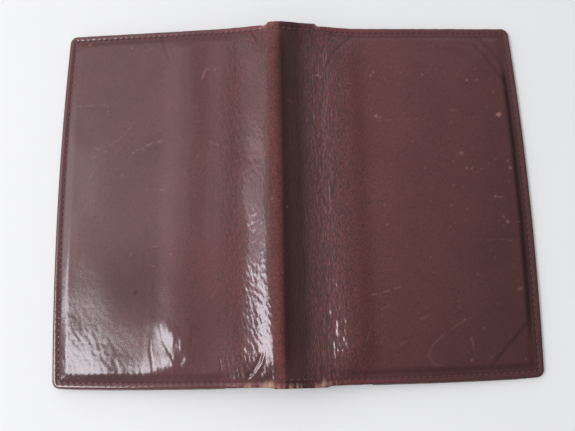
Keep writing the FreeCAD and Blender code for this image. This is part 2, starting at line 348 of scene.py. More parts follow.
def wrinkles(x, y):
    d = toEdge(x, y)
    depth = wrinkleDepth
    zone = smooth(-5.5, 2.0, x) * smooth(25, 14, x) * (0.4 + 0.8 * smooth(0, 12, x))
    h = depth["upright"] * zone * (uprightWrinkles(x, y) - 0.55)
    h += depth["slanting"] * ridgeWrinkles(x, y) + humpWrinkles(x, y)
    h += depth["corner"] * cornerWrinkles(x, y) * smooth(2.5, 5, d)
    # short upright puckers just inside the tail seam
    zone = smooth(-58, -68, y) * smooth(3.0, 4.5, d) * smooth(12, 5, d) * smooth(24, -5, x)
    h += depth["tail"] * zone * (ridges((x + 0.15 * y) / 1.5, y / 7, 70) ** 2 - 0.4)
    h += depth["pebble"] * (cloud(x / 0.95, y / 0.95, 71, 2) - 0.5)
    h += depth["waves"] * (cloud(x / 30, y / 38, 72, 2) - 0.5) * smooth(3, 16, d)
    return h


def seamGroove(x, y):
    d = toEdge(x, y)
    inset = thread["inset"]
    line = -relief["seam"] * bell(d, inset, 0.55)
    run = np.where(np.abs(y) > 70, x, y)
    pucker = relief["pucker"] * np.cos(2 * math.pi * run / thread["pitch"]) * bell(d, inset, 1.0)
    zone = smooth(40, 60, x) * smooth(-66, -50, y) * smooth(66, 50, y)
    pressed = -relief["groove"] * bell(d, 4.45, 1.10) * zone
    ends = -relief["endGroove"] * bell(d, 4.4, 1.0) * smooth(66, 72, np.abs(y)) * smooth(8, 20, x)
    return line + pucker + pressed + ends


def coarseSkin(x, y):
    # the skin without its fine wrinkles, which the layers beneath follow
    return body(x, y) + pocketPrint(x, y)


def skin(x, y):
    d = toEdge(x, y)
    r = relief["rounding"]
    rounding = r - np.sqrt(np.maximum(r ** 2 - np.maximum(r - d, 0) ** 2, 0))
    fine = creasing(x, y) + wrinkles(x, y) * smooth(0.5, 2.5, d) + seamGroove(x, y)
    return coarseSkin(x, y) + fine - rounding


def meshFrom(name, points, faces, material, marks=None):
    mesh = bpy.data.meshes.new(name)
    mesh.from_pydata((np.asarray(points) * mm).tolist(), [], faces)
    mesh.update()
    mesh.shade_smooth()
    mesh.set_sharp_from_angle(angle=math.radians(48))
    rest = mesh.attributes.new("restPlace", "FLOAT_VECTOR", "POINT")
    rest.data.foreach_set("vector", np.asarray(points, np.float32).ravel())
    for mark, values in (marks or {}).items():
        store = mesh.attributes.new(mark, "FLOAT", "POINT")
        store.data.foreach_set("value", np.asarray(values, np.float32))
    mesh.materials.append(material)
    piece = bpy.data.objects.new(name, mesh)
    bpy.context.scene.collection.objects.link(piece)
    return piece


def rim(nu, nv, start):
    # indices of a grid's border, once round
    ring = [(i, 0) for i in range(nu - 1)]
    ring += [(nu - 1, j) for j in range(nv - 1)]
    ring += [(i, nv - 1) for i in range(nu - 1, 0, -1)]
    ring += [(0, j) for j in range(nv - 1, 0, -1)]
    return [start + i * nv + j for i, j in ring]


def gridFaces(nu, nv, start, up):
    quads = []
    for i in range(nu - 1):
        for j in range(nv - 1):
            a = start + i * nv + j
            quad = (a, a + nv, a + nv + 1, a + 1)
            quads.append(quad if up else quad[::-1])
    return quads


def wallBetween(low, nextLow, run):
    # faces from one edge of the coarse underside up to a run of edges of the fine top
    every = len(run) - 1
    if every == 1:
        return [(low, nextLow, run[1], run[0])]
    half = every // 2
    wall = [(low, run[q + 1], run[q]) for q in range(half)]
    wall += [(low, nextLow, run[half])]
    wall += [(nextLow, run[q + 1], run[q]) for q in range(half, every)]
    return wall


def closedSheet(name, x, y, top, bottom, side, material, every=1, marks=None):
    # a sheet between two height functions; its underside may take only some of the grid lines
    xl, yl = x[::every, ::every], y[::every, ::every]
    upper = np.stack([x, y, top(x, y)], -1).reshape(-1, 3)
    lower = np.stack([xl, yl, bottom(xl, yl)], -1).reshape(-1, 3)
    first = len(upper)
    faces = gridFaces(*x.shape, 0, side > 0) + gridFaces(*xl.shape, first, side < 0)
    fine = rim(*x.shape, 0)
    rough = rim(*xl.shape, first)
    for k, low in enumerate(rough):
        run = [fine[(k * every + q) % len(fine)] for q in range(every + 1)]
        wall = wallBetween(low, rough[(k + 1) % len(rough)], run)
        faces += wall if side > 0 else [face[::-1] for face in wall]
    points = np.concatenate([upper, lower])
    values = {mark: rule(points[:, 0], points[:, 1]) for mark, rule in (marks or {}).items()}
    return meshFrom(name, points, faces, material, values)


def spaced(start, end, step, multiple=1):
    count = max(1, round((end - start) / step / multiple)) * multiple
    return np.linspace(start, end, count + 1)


def gridLines(stretches, multiple=1):
    # one run of grid lines through stretches of even spacing
    runs = [spaced(*stretch, multiple) for stretch in stretches]
    return np.concatenate([runs[0]] + [run[1:] for run in runs[1:]])


def rounded(count):
    # the last 3 mm before an edge, closer together towards the edge
    return 3 * np.sin(np.linspace(0, math.pi / 2, count + 1))[1:]


def rowsToEdges(step, count, multiple=1):
    ends = 72 + rounded(count)
    return np.concatenate([-ends[::-1], spaced(-72, 72, step, multiple), ends])


def grid(us, vs):
    return np.meshgrid(us, vs, indexing="ij")


class Num:
    # a shader value; sums and products of values add their own Math nodes
    def __init__(self, tree, socket):
        self.tree = tree
        self.socket = socket

    def maths(self, operation, first, second=0.0):
        node = self.tree.nodes.new("ShaderNodeMath")
        node.operation = operation
        for socket, value in zip(node.inputs, (first, second)):
            if isinstance(value, Num):
                self.tree.links.new(value.socket, socket)
            else:
                socket.default_value = value
        return Num(self.tree, node.outputs[0])

    def __add__(self, other):
        return self.maths("ADD", self, other)

    def __radd__(self, other):
        return self.maths("ADD", other, self)

    def __sub__(self, other):
        return self.maths("SUBTRACT", self, other)

    def __rsub__(self, other):
        return self.maths("SUBTRACT", other, self)

    def __mul__(self, other):
        return self.maths("MULTIPLY", self, other)

    def __rmul__(self, other):
        return self.maths("MULTIPLY", other, self)

    def sine(self):
        return self.maths("SINE", self)


class Nodes:
    def __init__(self, tree):
        self.tree = tree

    def node(self, kind, settings=None, sockets=None):
        # settings come first, because some of them change the sockets
        node = self.tree.nodes.new("ShaderNode" + kind)
        for name, value in (settings or {}).items():
            setattr(node, name, value)
        for name, value in (sockets or {}).items():
            self.feed(node.inputs[name], value)
        return node

    def feed(self, socket, value):
        if isinstance(value, Num):
            self.tree.links.new(value.socket, socket)
        elif isinstance(value, bpy.types.NodeSocket):
            self.tree.links.new(value, socket)
        else:
            socket.default_value = value

    def parts(self, vector):
        split = self.node("SeparateXYZ", {}, {"Vector": vector})
        return [Num(self.tree, socket) for socket in split.outputs]

    def vector(self, operation, *values):
        return self.node("VectorMath", {"operation": operation}, dict(enumerate(values))).outputs[0]

    def noise(self, vector, scale, detail, rough):
        sockets = {"Vector": vector, "Scale": scale, "Detail": detail, "Roughness": rough}
        return Num(self.tree, self.node("TexNoise", {}, sockets).outputs["Fac"])

    def cells(self, vector, scale, feature="F1"):
        node = self.node("TexVoronoi", {"feature": feature}, {"Vector": vector, "Scale": scale})
        return Num(self.tree, node.outputs["Distance"])

    def limit(self, value, low, high, toLow=0.0, toHigh=1.0):
        # a soft step between two values
        sockets = {"Value": value, "From Min": low, "From Max": high, "To Min": toLow, "To Max": toHigh}
        node = self.node("MapRange", {"interpolation_type": "SMOOTHSTEP"}, sockets)
        return Num(self.tree, node.outputs[0])

    def mix(self, share, first, second):
        return self.node("Mix", {"data_type": "RGBA"}, {0: share, 6: first, 7: second}).outputs[2]

    def bump(self, height, distance, strength, normal=None):
        sockets = {"Height": height, "Distance": distance, "Strength": strength}
        if normal is not None:
            sockets["Normal"] = normal
        return self.node("Bump", {}, sockets).outputs["Normal"]


class Finish(Nodes):
    # a material whose patterns keep to the place each point has at rest, in millimetres
    def __init__(self, name):
        self.material = bpy.data.materials.new(name)
        self.material.use_nodes = True
        super().__init__(self.material.node_tree)
        self.shader = self.tree.nodes["Principled BSDF"]

    def mark(self, name):
        node = self.node("Attribute", {"attribute_name": name})
        return Num(self.tree, node.outputs["Fac"])

    def rest(self, scale=(1, 1, 1)):
        node = self.node("Attribute", {"attribute_name": "restPlace"})
        return self.vector("MULTIPLY", node.outputs["Vector"], scale)

    def cracks(self, degrees, wide, long):
        # 1 in the dark lines between fine folds that run at an angle, 0 on the folds
        turn = {"Vector": self.rest(), "Angle": math.radians(degrees)}
        turned = self.node("VectorRotate", {"rotation_type": "Z_AXIS"}, turn).outputs[0]
        drift = self.node("TexNoise", {}, {"Vector": self.rest(), "Scale": 0.9, "Detail": 2.0})
        shifted = self.vector("MULTIPLY_ADD", drift.outputs["Color"], (1.1, 1.1, 0), turned)
        sized = self.vector("MULTIPLY", shifted, (1 / wide, 1 / long, 0))
        return 1 - self.limit(self.cells(sized, 1.0, "DISTANCE_TO_EDGE"), 0.0, 0.22)

    def finish(self, **sockets):
        for name, value in sockets.items():
            self.feed(self.shader.inputs[name.replace("_", " ")], value)
        return self.material


outerLeather = {
    "deep": (0.084, 0.0195, 0.0215, 1),
    "brown": (0.102, 0.0275, 0.0265, 1),
    "red": (0.190, 0.036, 0.037, 1),
    # dark brown for painted shade, dark patches and pores
    "shadeAndDirt": (0.023, 0.0088, 0.0078, 1),
    "scuffAndSheen": (0.34, 0.15, 0.12, 1),
    "tan": (0.42, 0.245, 0.17, 1),
    "cutEdge": (0.060, 0.045, 0.028, 1),
    "roughness": 0.41,
    "coat": 0.80,
    "coatRoughness": 0.15,
    "specular": 0.12,
    "grain": 1.45,   # pebbles and pores per millimetre
    "pores": 1.9,
    "slanted": (-23, 0.62, 1.7),   # angle, width and length of the folds
    "upright": (0, 0.80, 3.6),
}


def outerColour(f, broad, patches, grain, cracks):
    s = outerLeather
    colour = f.mix(f.limit(broad * 0.8 + patches * 0.2, 0.30, 0.70), s["deep"], s["brown"])
    colour = f.mix(f.mark("rubbedAndLit") * (0.55 + 0.6 * patches), colour, s["red"])
    # painted shade in the valley, grooves, creases and towards the right tail corner, with dark patches
    colour = f.mix(f.mark("dirtAndShade") * 0.94, colour, s["shadeAndDirt"])
    # painted shade in the dark lines between the fine folds
    colour = f.mix(f.limit(cracks, 0.0, 1.4, 0.0, 0.66), colour, s["shadeAndDirt"])
    colour = f.mix(f.limit(grain, 0.45, 0.85) * 0.35, colour, s["shadeAndDirt"])
    # scratches, specks and scuffed spots, and a painted sheen along the pocket ridge
    colour = f.mix(f.mark("scratchesAndSheen"), colour, s["scuffAndSheen"])
    bare = f.mark("worn") * f.limit(patches + f.mark("worn") * 0.35, 0.35, 0.7)
    colour = f.mix(bare, colour, s["tan"])
    return f.mix(f.mark("cut"), colour, s["cutEdge"])


def makeOuterLeather():
    s = outerLeather
    f = Finish("wornOxbloodLeather")
    rest = f.rest()
    broad = f.noise(rest, 0.045, 3.0, 0.6)
    patches = f.noise(rest, 0.35, 4.0, 0.6)
    grain = f.cells(rest, s["grain"])
    pores = f.noise(rest, s["pores"], 3.0, 0.6)
    cracks = f.cracks(*s["slanted"]) * f.mark("slanted") + 1.5 * f.cracks(*s["upright"]) * f.mark("upright")
    rough = s["roughness"] + 0.10 * patches + 0.22 * f.mark("dirtAndShade") + 0.25 * f.mark("worn")
    normal = f.bump(pores, 0.00006, 0.7)
    normal = f.bump(1 - grain, 0.00005, 0.55, normal)
    normal = f.bump(1 - cracks, 0.00009, 0.85, normal)
    return f.finish(
        Base_Color=outerColour(f, broad, patches, grain, cracks),
        Roughness=rough + 0.08 * f.mark("scratchesAndSheen"),
        Normal=normal,
        Coat_Weight=s["coat"] * (1 - 0.8 * f.mark("dirtAndShade")),
        Coat_Roughness=s["coatRoughness"],
        Specular_IOR_Level=s["specular"],
    )


innerLeather = {
    "deep": (0.050, 0.014, 0.016, 1),
    "brown": (0.078, 0.024, 0.024, 1),
    "pores": (0.02, 0.008, 0.008, 1),
    "cutEdge": (0.115, 0.085, 0.045, 1),
    "roughness": 0.40,
    "coat": 0.1,
}


def makeInnerLeather():
    s = innerLeather
    f = Finish("smoothPocketLeather")
    rest = f.rest()
    patches = f.noise(rest, 0.12, 4.0, 0.6)
    grain = f.cells(rest, 1.9)
    colour = f.mix(f.limit(patches, 0.35, 0.65), s["deep"], s["brown"])
    colour = f.mix(f.limit(grain, 0.5, 0.85) * 0.3, colour, s["pores"])
    colour = f.mix(f.mark("cut"), colour, s["cutEdge"])
    rough = s["roughness"] + 0.12 * patches
    normal = f.bump(1 - grain, 0.00004, 0.45)
    return f.finish(Base_Color=colour, Roughness=rough, Normal=normal, Coat_Weight=s["coat"])


twill = {"dark": (0.022, 0.012, 0.011, 1), "light": (0.052, 0.030, 0.026, 1), "ribs": 5.2, "weft": 17}


def makeLining():
    s = twill
    f = Finish("darkTwillLining")
    rest = f.rest()
    x, y, _ = f.parts(rest)
    ribs = ((x + y) * s["ribs"]).sine()
    weft = (y * s["weft"]).sine()
    threads = 0.5 + 0.35 * ribs + 0.15 * weft
    patches = f.noise(rest, 0.5, 3.0, 0.6)
    colour = f.mix(threads * 0.7 + patches * 0.3, s["dark"], s["light"])
    return f.finish(Base_Color=colour, Roughness=0.75 + 0.1 * patches, Normal=f.bump(threads, 0.00005, 0.6))


felt = {"dark": (0.24, 0.21, 0.175, 1), "light": (0.42, 0.38, 0.33, 1), "stretch": (1, 0.35, 1)}


def makeFelt():
    s = felt
    f = Finish("greyBrownInterlining")
    fibres = f.noise(f.rest(s["stretch"]), 2.6, 5.0, 0.7)
    specks = f.noise(f.rest(), 0.8, 2.0, 0.5)
    colour = f.mix(f.limit(fibres * 0.7 + specks * 0.3, 0.35, 0.65), s["dark"], s["light"])
    return f.finish(Base_Color=colour, Roughness=0.88 + 0.08 * specks, Normal=f.bump(fibres, 0.00012, 0.8))


board = {
    "dark": (0.23, 0.14, 0.08, 1),
    "light": (0.40, 0.27, 0.17, 1),
    "speck": (0.12, 0.07, 0.04, 1),
    "stretch": (1, 0.12, 1),
}


def makeBoard():
    s = board
    f = Finish("bondedFibreStrip")
    fibres = f.noise(f.rest(s["stretch"]), 2.2, 5.0, 0.65)
    specks = f.noise(f.rest(), 1.1, 3.0, 0.6)
    colour = f.mix(f.limit(fibres, 0.35, 0.65), s["dark"], s["light"])
    colour = f.mix(f.limit(specks, 0.6, 0.7) * 0.6, colour, s["speck"])
    return f.finish(Base_Color=colour, Roughness=0.8 + 0.1 * specks, Normal=f.bump(fibres, 0.00008, 0.6))


threadLook = {"dark": (0.036, 0.011, 0.014, 1), "light": (0.12, 0.042, 0.050, 1)}


def makeThread():
    s = threadLook
    f = Finish("waxedRedBrownThread")
    fuzz = f.noise(f.rest(), 1.4, 3.0, 0.6)
    # painted shade in the furrows between the plies, lighter on their crowns
    colour = f.mix(f.limit(fuzz * 0.5 + f.mark("plyShade") * 0.5, 0.25, 0.8), s["dark"], s["light"])
    return f.finish(Base_Color=colour, Roughness=0.62 + 0.1 * fuzz, Normal=f.bump(fuzz, 0.00003, 0.5))


finishes = {
    "outer": makeOuterLeather(),
    "inner": makeInnerLeather(),
    "lining": makeLining(),
    "felt": makeFelt(),
    "board": makeBoard(),
    "thread": makeThread(),
}
print("materials made")


scratches = [   # route, half width, strength
    ([(-38.1, 50.7), (-37.4, 53.6), (-36.4, 56.1), (-33.5, 55.9), (-30.8, 55.1)], 0.34, 0.75),
    ([(-68.4, 18.8), (-65.5, 20.9), (-61.2, 22.9), (-57, 24.3), (-53.2, 24.9)], 0.32, 0.75),
    ([(-68.4, 18.8), (-67.8, 16.2)], 0.28, 0.5),
    ([(-81.3, 22.3), (-76.5, 24), (-72.5, 26.8), (-69, 30.6), (-66.7, 34.7)], 0.30, 0.42),
    ([(-62.0, 3.7), (-56, 3.6), (-51.5, 2.8)], 0.34, 0.60),
    ([(-93.1, 42.0), (-85, 42.1), (-77.3, 41.6)], 0.28, 0.38),
    ([(-36, 24), (-31, 21.5), (-26, 20)], 0.3, 0.32),
    ([(28.6, -42.1), (35, -40.6), (42.5, -38.4)], 0.34, 0.50),
    ([(70.8, -50.8), (64, -53.5), (57.7, -57.6), (53, -61.5), (50.7, -65.5), (53, -69), (58.3, -70.3)],
     0.30, 0.28),
    ([(68.1, -58.6), (68.9, -61.5), (68.7, -64.8)], 0.32, 0.50),
    ([(77, -20.5), (84, -20.2), (91, -20.6)], 0.26, 0.28),
    ([(83.5, 12), (86, 15.5)], 0.3, 0.35),
    ([(88.6, -41), (91.5, -39.6)], 0.4, 0.6),
    ([(66, 33), (69.5, 36)], 0.28, 0.28),
    ([(36, 31.6), (39.5, 31.5), (42.5, 32)], 0.26, 0.4),
    ([(-60, -52), (-55, -50.5), (-51.5, -50)], 0.28, 0.35),
]
spots = [   # place, radius, strength
    (88.5, 34.2, 1.25, 1.0), (35.5, 33.4, 0.8, 0.8), (37.0, 32.7, 0.5, 0.8), (75.9, 49.7, 0.55, 0.9),
    (80.1, 49.9, 0.4, 0.7), (87.2, 44.6, 0.45, 0.5), (34.0, 52.0, 0.6, 0.5), (35.3, 53.4, 0.5, 0.6),
    (11.3, 51.7, 0.6, 0.8), (12.5, 51.0, 0.4, 0.8), (56.5, 52.3, 0.5, 0.45), (60.5, 57, 0.4, 0.45),
    (41.7, 24.6, 0.3, 0.6), (70.5, 16.8, 0.9, 0.42), (72.3, 10.1, 0.55, 0.7), (74.5, 10.0, 0.45, 0.6),
    (91.2, 10.4, 0.8, 0.5), (90.4, 13.5, 0.6, 0.45), (66.4, 2.6, 0.35, 0.5), (87.6, -12.8, 0.8, 0.5),
    (86.2, -10.6, 0.6, 0.4), (83.8, -12.4, 0.4, 0.4), (-9.1, -2.7, 0.5, 0.7), (-3.1, -5.5, 0.35, 0.8),
    (-5.3, -32.6, 0.35, 0.8), (-66.7, -23.3, 0.5, 0.35), (-57.3, -28.1, 0.55, 0.4), (-50.3, -23.5, 0.4, 0.7),
    (-71.8, -53.8, 0.35, 0.8), (-87.8, 70.4, 0.8, 0.55), (-69.0, 67.8, 0.35, 0.6), (-20.5, 9.0, 0.5, 0.45),
    (37.5, -13.3, 0.4, 0.7), (54.4, -27, 0.35, 0.5), (68.0, -68.0, 0.45, 0.9), (-78.5, 38.9, 0.35, 0.6),
    (-73.9, 13.0, 0.4, 0.4), (-71.4, 10.3, 0.55, 0.35), (-66.4, -38.0, 0.3, 0.4),
]


wornSpots = [   # bare leather: place, radius, height over width, strength
    (-11.3, 75.2, 1.5, 1.0, 0.9), (12.0, 75.4, 1.2, 1.0, 0.9),
    (-11.0, -75.6, 1.9, 1.0, 0.75), (9.6, -75.2, 1.1, 1.3, 0.6),
]
smudges = [   # dark patches: place, radius, width, height, strength
    (-20.5, -68.5, 2.6, 1.0, 1.2, 0.38), (-74, -38, 15, 1.5, 1.0, 0.26),
    (-33, -45, 13, 1.0, 2.0, 0.14), (-64.4, -38.7, 0.55, 1.0, 1.0, 0.8),
]
# strengths of the wear marks, of the painted shade and of the painted sheen on the pocket ridge
wearShadeAndSheen = {
    "scratches": 0.52,   # share of each listed strength
    "spots": 0.62,
    "pocketRidgeSheen": 0.07,
    "specks": 90,   # counts
    "nicks": 45,
    "valley": 0.95,   # painted shade, here and in the seam grooves and creases; darkening at the tail fold
    "groove": 0.95,
    "creases": 0.9,
    "tailFold": 0.55,
    "paintedFalloff": 0.47,   # painted shade, growing towards the right cover's tail corner
}


def strayMarks(x, y):
    # specks and short nicks in no order
    random = np.random.default_rng(82)
    mark = np.zeros(np.shape(x))
    for _ in range(wearShadeAndSheen["specks"]):
        cx = random.uniform(22, 94)
        cy = random.uniform(-70, 70)
        strength = random.uniform(0.1, 0.4)
        mark = np.maximum(mark, strength * bell(np.hypot(x - cx, y - cy), 0, 0.3))
    for _ in range(wearShadeAndSheen["nicks"]):
        cx = random.uniform(-92, 92)
        cy = random.uniform(-68, 68)
        turn = random.uniform(0, 6.3)
        size = random.uniform(1, 4)
        strength = random.uniform(0.1, 0.24)
        ends = [(cx, cy), (cx + size * math.cos(turn), cy + size * math.sin(turn))]
        mark = np.maximum(mark, strength * bell(toPath(x, y, ends)[0], 0, 0.26))
    return mark


# scratches, specks and scuffed spots, and a painted sheen along the left cover's pocket ridge
def scratchesAndSheen(x, y):
    mark = strayMarks(x, y)
    broken = smooth(0.25, 0.6, noise(x / 1.3, y / 1.3, 80))
    for path, width, strength in scratches:
        far, _, along = toPath(x, y, path)
        ends = smooth(0, 0.12, along) * smooth(1, 0.85, along)
        mark = np.maximum(mark, wearShadeAndSheen["scratches"] * strength * broken * ends * bell(far, 0, width))
    uneven = 0.7 + 0.6 * noise(x / 0.9, y / 0.9, 81)
    for sx, sy, radius, strength in spots:
        far = np.hypot(x - sx, y - sy) / (radius * uneven)
        mark = np.maximum(mark, wearShadeAndSheen["spots"] * strength * smooth(1.25, 0.5, far))
    # painted sheen: a lighter band along the pocket ridge on the left cover
    pocketRidgeSheen = bell(x, -51.5, 4.2) * (0.6 + 0.5 * cloud(x / 3, y / 9, 91)) * smooth(-50, -20, y)
    return np.clip(np.maximum(mark, wearShadeAndSheen["pocketRidgeSheen"] * pocketRidgeSheen), 0, 1)


def worn(x, y):
    mark = np.zeros(np.shape(x))
    for sx, sy, radius, tall, strength in wornSpots:
        mark = mark + strength * bell(np.hypot(x - sx, (y - sy) / tall), 0, radius)
    tail = reachAt(x, -1) + y
    ticks = smooth(0.35, 0.75, noise(x / 0.75, x * 0, 83)) * smooth(2.8, 0.3, tail) * (y < 0)
    mark = mark + 0.55 * ticks * smooth(-27, -20, x) * smooth(20, 8, x)
    corners = np.minimum(np.hypot(np.abs(x) - 96.5, y - 74), np.hypot(np.abs(x) - 96.5, y + 75))
    mark = mark + 0.35 * bell(corners, 0, 1.0)
    edge = smooth(0.5, 0.05, toEdge(x, y)) * smooth(0.45, 0.75, cloud(x / 3, y / 3, 84))
    return np.clip(mark + 0.35 * edge, 0, 1)


# painted shade over the spine valley, fading towards the right, streaked along the wrinkles
def valleyShade(x, y):
    flank = smooth(-5.4, -3.9, x + 0.6 * smooth(30, -60, y))
    fading = 0.62 * smooth(7, 1.5, x) + 0.38 * smooth(17, 4, x)
    lines = ridges(x / 0.8 + 0.8 * noise(x / 4, y / 9, 88), y / 9, 87)
    streaks = 0.80 + 0.35 * lines * smooth(-3, 6, x)
    return flank * fading * streaks * (0.85 + 0.15 * smooth(75, 50, np.abs(y)))


# painted shade in the pressed groove inside the right seam, the grooves at head and tail and along the
# stitch line; the last term darkens the outermost millimetre
def seamShade(x, y):
    d = toEdge(x, y)
    pressed = bell(d, 4.7, 1.25) * smooth(40, 60, x) * smooth(-62, -45, y) * smooth(60, 48, y)
    ends = bell(d, 4.6, 1.4) * smooth(66, 72, np.abs(y)) * smooth(10, 20, np.abs(x))
    holes = bell(d, thread["inset"], 0.35)
    return wearShadeAndSheen["groove"] * pressed + 0.30 * ends + 0.30 * holes + 0.35 * smooth(1.0, 0.0, d)


# painted shade along the creases, the deeper ones darker
def creaseShade(x, y):
    mark = np.zeros(np.shape(x))
    for path, depth, width, _, _ in creases:
        far, _, along = toPath(x, y, path)
        mark = mark + depth * bell(far, 0, 1.1 * width) * smooth(0, 0.15, along) * smooth(1, 0.8, along)
    return mark


# painted shade in the valley, the seam grooves and the creases and towards the right cover's tail corner,
# with dark patches and a darker tail fold
def dirtAndShade(x, y):
    mark = wearShadeAndSheen["valley"] * valleyShade(x, y) + seamShade(x, y) + wearShadeAndSheen["creases"] * creaseShade(x, y)
    for sx, sy, radius, wide, tall, strength in smudges:
        mark = mark + strength * bell(np.hypot((x - sx) / wide, (y - sy) / tall), 0, radius)
    tailFold = smooth(-65, -70, y) * bell(x, -11, 5) * (0.6 + 0.6 * noise(x / 1.3, y / 1.3, 92))
    # painted shade: the light's falloff towards the right cover's tail corner
    paintedFalloff = smooth(10, 130, x - 0.62 * y) * smooth(14, 24, x)
    return np.clip(mark + wearShadeAndSheen["tailFold"] * tailFold + wearShadeAndSheen["paintedFalloff"] * paintedFalloff, 0, 1)


def rubbedAndLit(x, y):
    # where the red ground colour shows through; on and right of the hump the lighter red is painted
    # highlight
    crest = 0.90 * bell(x, -6.6, 2.1) * (0.5 + 0.5 * smooth(60, 0, y))
    crest = crest * (0.55 + 0.8 * noise(x / 1.1, y / 3, 89))
    slope = 0.80 * smooth(-42, -16, x) * smooth(-4, -8, x) * cloud(x / 6, y / 9, 85)
    # painted highlight: lighter red on the hump, fading out to its right
    hump = 0.75 * bell(x, 16, 9) * cloud(x / 4, y / 8, 86) + 0.25 * bell(x, 27, 20)
    corner = 0.6 * bell(np.hypot((x - 14.5) / 1.3, (y - 71) / 2.4), 0, 2.0)
    edge = 0.15 * bell(toEdge(x, y), 1.3, 1.0)
    panel = 0.25 * bell(np.hypot(x + 35, y + 30), 0, 14)
    return np.clip(crest + slope + hump + corner + edge + panel, 0, 1)


def slanted(x, y):
    # how strongly the slanting folds of the grain show
    left = smooth(-40, -18, x) * smooth(-3.5, -6, x)
    right = smooth(14, 20, x) * smooth(52, 22, x) * 0.7
    fan = smooth(-32, -48, y + 0.85 * (x + 92)) * smooth(-46, -62, x) * 0.8
    top = 0.5 * smooth(50, 70, y) * smooth(30, 12, x) * smooth(4, 12, x)
    return np.clip(left + right + fan + top + 0.20, 0, 1) * smooth(1.5, 4, toEdge(x, y))


def upright(x, y):
    return smooth(-5.5, -2, x) * smooth(27, 13, x) * (0.6 + 0.4 * smooth(2, 8, x))


def cutEdge(x, y):
    return smooth(0.12, 0.0, toEdge(x, y))


def innerCutEdge(x, y):
    return smooth(0.15, -0.1, toEdge(x, y))


skinMarks = {
    "scratchesAndSheen": scratchesAndSheen, "worn": worn, "dirtAndShade": dirtAndShade, "rubbedAndLit": rubbedAndLit,
    "slanted": slanted, "upright": upright, "cut": cutEdge,
}
layer = {   # thicknesses in millimetres
    "leather": 1.1,
    "pad": 0.86,
    "lining": 0.28,
    "gap": 0.02,
    "sleeve": 0.68,
    "card": 0.48,
    "thinnest": 0.06,   # what is left of the padding at its edge
    "thinnestPanel": 0.12,
}


def padShare(x, y):
    # 1 where the soft interlining or the spine strip lies between leather and lining
    far = smooth(92.6, 90.6, np.abs(x))
    end = np.where(np.abs(x) < 26, smooth(74.6, 73.4, np.abs(y)), smooth(71.2, 69.0, np.abs(y)))
    return far * end


def leatherUnder(x, y):
    return coarseSkin(x, y) - layer["leather"]


def padTop(x, y):
    return leatherUnder(x, y) - layer["gap"]


def padUnder(x, y):
    return padTop(x, y) - np.maximum(layer["pad"] * padShare(x, y), layer["thinnest"])


def liningTop(x, y):
    return leatherUnder(x, y) - 2 * layer["gap"] - layer["pad"] * padShare(x, y)


def liningUnder(x, y):
    return liningTop(x, y) - layer["lining"]


def coverBase(x):
    # the slope on which the cover's own underside lies
    rise = np.where(x > 0, tilt[1], tilt[-1])
    return rise * (plan["edge"] - 0.1 - np.abs(x)).clip(0)


def sag(x, y, seed):
    # a soft wave in a loose panel, nothing at its seams
    return 0.30 * (cloud(x / 26, y / 30, seed, 2) - 0.35) * smooth(4, 22, toEdge(x, y))


def panelHeights(s, thick):
    # top and underside of a loose panel; the low ones are looser
    looseness = 1.0 if s["low"] < 0.1 else 0.6

    def over(x, y):
        mouth = 0.06 * bell(np.abs(x) - s["mouth"], 0.4, 0.5)
        flat = coverBase(x) + s["low"] + thick + looseness * sag(x, y, s["seed"]) + mouth
        return np.minimum(flat, liningUnder(x, y) - layer["gap"])

    def under(x, y):
        groove = 0.14 * bell(toEdge(x, y), thread["inset"], 0.45)
        mouth = 0.10 * bell(np.abs(x) - s["mouth"], 1.6, 0.28)
        flat = coverBase(x) + s["low"] + looseness * sag(x, y, s["seed"])
        return np.minimum(flat + groove + mouth, over(x, y) - layer["thinnestPanel"])

    return over, under


def declared(replaced):
    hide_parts(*replaced)


covers = {-1: "left_cover", 1: "right_cover"}


def bend(piece):
    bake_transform(piece)


outerSheet = {
    "columns": ((0, 34, 0.36), (34, 60, 0.43), (60, 96, 0.56)),   # start, end and spacing
    "row": 0.55,
    "every": 4,   # the underside takes every fourth grid line
    "flat": (0.0988, 0.152),
}
liningSheet = {"columns": ((0, 30, 0.8), (30, 98.3, 1.7)), "end": 74.4, "row": 1.8, "flat": (0.0983, 0.149)}
padding = {"inner": 12.5, "outer": 91.6, "end": 70.4, "column": 1.6, "row": 1.8, "fill": 0.3}
strip = {"left": -9.0, "right": 8.6, "end": 74.4, "column": 0.8, "row": 1.6}


def outerSkin(side, name, nodes):
    every = outerSheet["every"]
    us = np.append(gridLines(outerSheet["columns"], every), 96 + rounded(every * 3))
    x, y = place(*grid(us, rowsToEdges(outerSheet["row"], every * 3, every)), side)
    piece = closedSheet(name, x, y, skin, leatherUnder, side, finishes["outer"], every, skinMarks)
    declared(nodes)
    bend(piece)


def liningHalf(side, name, nodes):
    s = liningSheet
    x, y = place(*grid(gridLines(s["columns"]), spaced(-s["end"], s["end"], s["row"])), side)
    piece = closedSheet(name, x, y, liningTop, liningUnder, side, finishes["lining"])
    declared(nodes)
    bend(piece)


def interlining(side, name, node):
    s = padding
    us = spaced(s["inner"], s["outer"], s["column"])
    x, y = place(*grid(us, spaced(-s["end"], s["end"], s["row"])), side)
    piece = closedSheet(name, x, y, padTop, padUnder, side, finishes["felt"])
    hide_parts(node)
    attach(piece, covers[side])


def stripUnder(x, y):
    return padTop(x, y) - layer["pad"]


def stiffener():
    s = strip
    x, y = grid(spaced(s["left"], s["right"], s["column"]), spaced(-s["end"], s["end"], s["row"]))
    piece = closedSheet("spineStrip", x, y, padTop, stripUnder, 1, finishes["board"])
    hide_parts("spine_stiffener")
    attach(piece, "spine")


